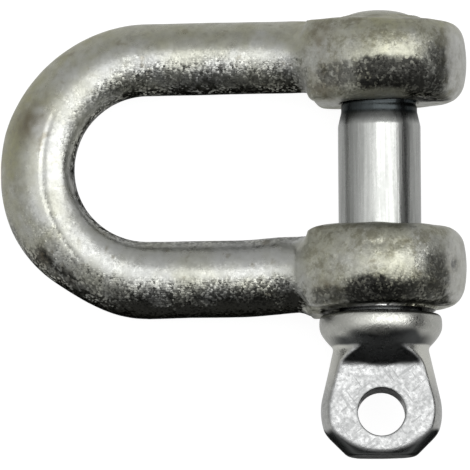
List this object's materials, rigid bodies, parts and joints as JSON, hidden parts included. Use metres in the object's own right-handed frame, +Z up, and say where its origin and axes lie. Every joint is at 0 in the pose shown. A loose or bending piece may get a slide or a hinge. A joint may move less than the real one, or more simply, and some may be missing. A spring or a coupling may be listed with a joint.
{
  "type": "chain joining shackle",
  "caption": "D-shaped forged shackle closed by a collared screw pin with a flattened eye; joins chain, rope or rigging to a fitting.",
  "frame": {"origin": "on the pin's axis, midway between the two ears", "axes": "+Y along the pin towards its threaded end, +X from the crown of the bow towards the ears, +Z up, with the shackle lying on its side as it comes to rest"},
  "size_m": [0.0494, 0.0474, 0.017],
  "materials": {
    "bow_zinc": "zinc-plated forging, mottled satin grey with olive stains and dark pits",
    "pin_zinc": "bright zinc plating, speckled, with fine turning and handling marks"
  },
  "bodies": {
    "bow": {"shackle_bow": "bow_zinc"},
    "pin": {"screw_pin": "pin_zinc"}
  },
  "joints": [
    {"name": "pin_withdraw", "type": "slide", "parent": "bow", "child": "pin", "axis": [0, -1, 0], "range_m": [0, 0.045]}
  ]
}
